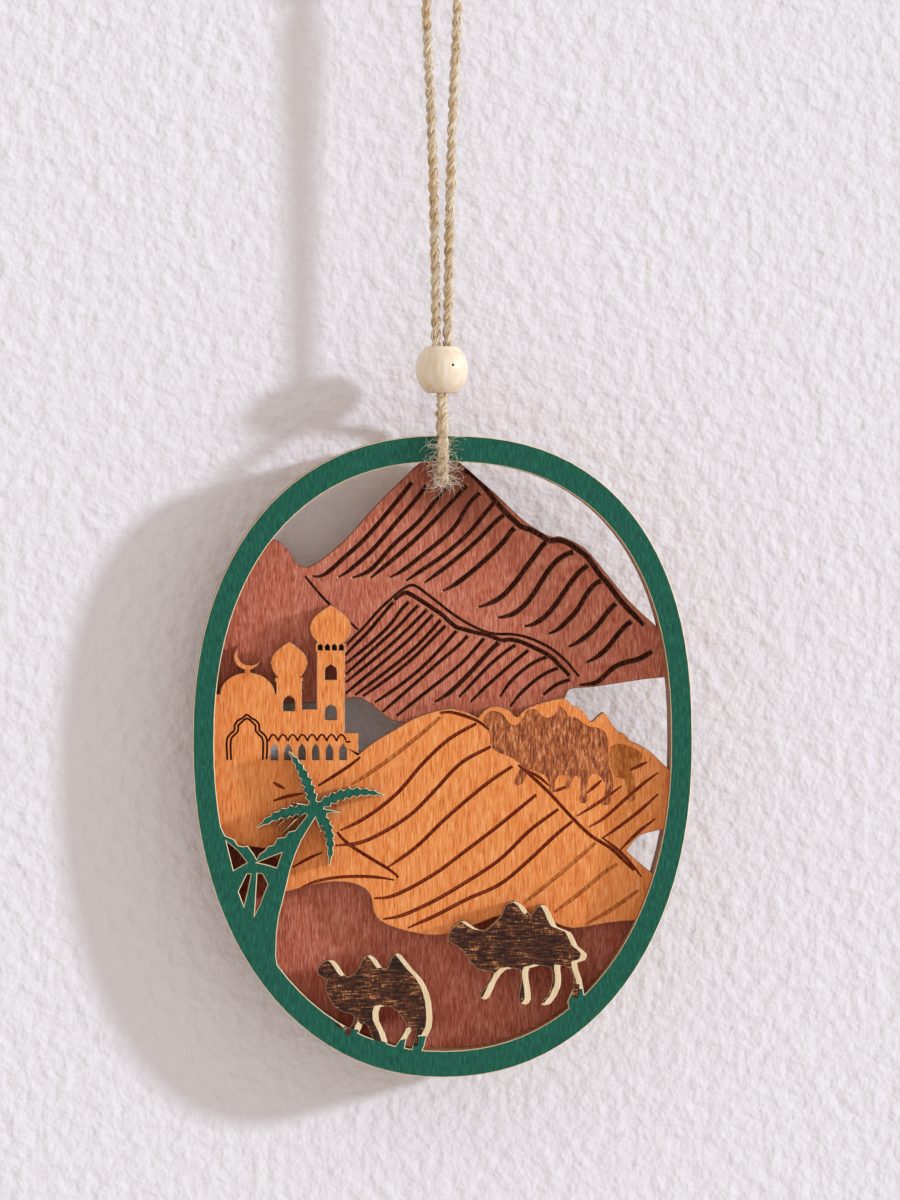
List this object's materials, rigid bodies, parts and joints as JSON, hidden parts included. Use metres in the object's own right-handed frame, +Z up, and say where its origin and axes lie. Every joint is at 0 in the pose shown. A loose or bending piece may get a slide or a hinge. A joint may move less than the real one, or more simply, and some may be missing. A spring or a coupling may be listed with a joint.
{
  "type": "wooden hanging decoration",
  "caption": "Oval hanging decoration of stacked laser-cut wood sheets showing domed buildings, dunes, mountains, palms and camels, on a beaded twine loop.",
  "frame": {"origin": "the inner top of the twine loop, where a hook or nail carries it", "axes": "+Z up; the scene faces -Y; +X to the right as seen from the front; Y is through the thickness of the stack"},
  "size_m": [0.0778, 0.0128, 0.1849],
  "materials": {
    "painted_plywood": "matt paint on 3 mm plywood, bare charred edges",
    "orange_plywood": "orange stain on plywood, matt",
    "brown_plywood": "reddish brown stain on plywood, matt",
    "bead_wood": "turned pale wood, smooth",
    "jute": "two-ply jute twine, hairy"
  },
  "bodies": {
    "hanger": {"twine": "jute", "twine_knot": "jute"},
    "bead": {"bead": "bead_wood"},
    "panel": {"front_sheet": "painted_plywood", "middle_sheet": "orange_plywood", "rear_sheet": "brown_plywood"}
  },
  "joints": [
    {"name": "bead_slide", "type": "slide", "parent": "hanger", "child": "bead", "axis": [0, 0, 1], "range_m": [0, 0.018]},
    {"name": "panel_swing", "type": "hinge", "parent": "hanger", "child": "panel", "pos_m": [0, 0.003, -0.0782], "axis": [0, 1, 0], "range_deg": [-45, 45]}
  ]
}
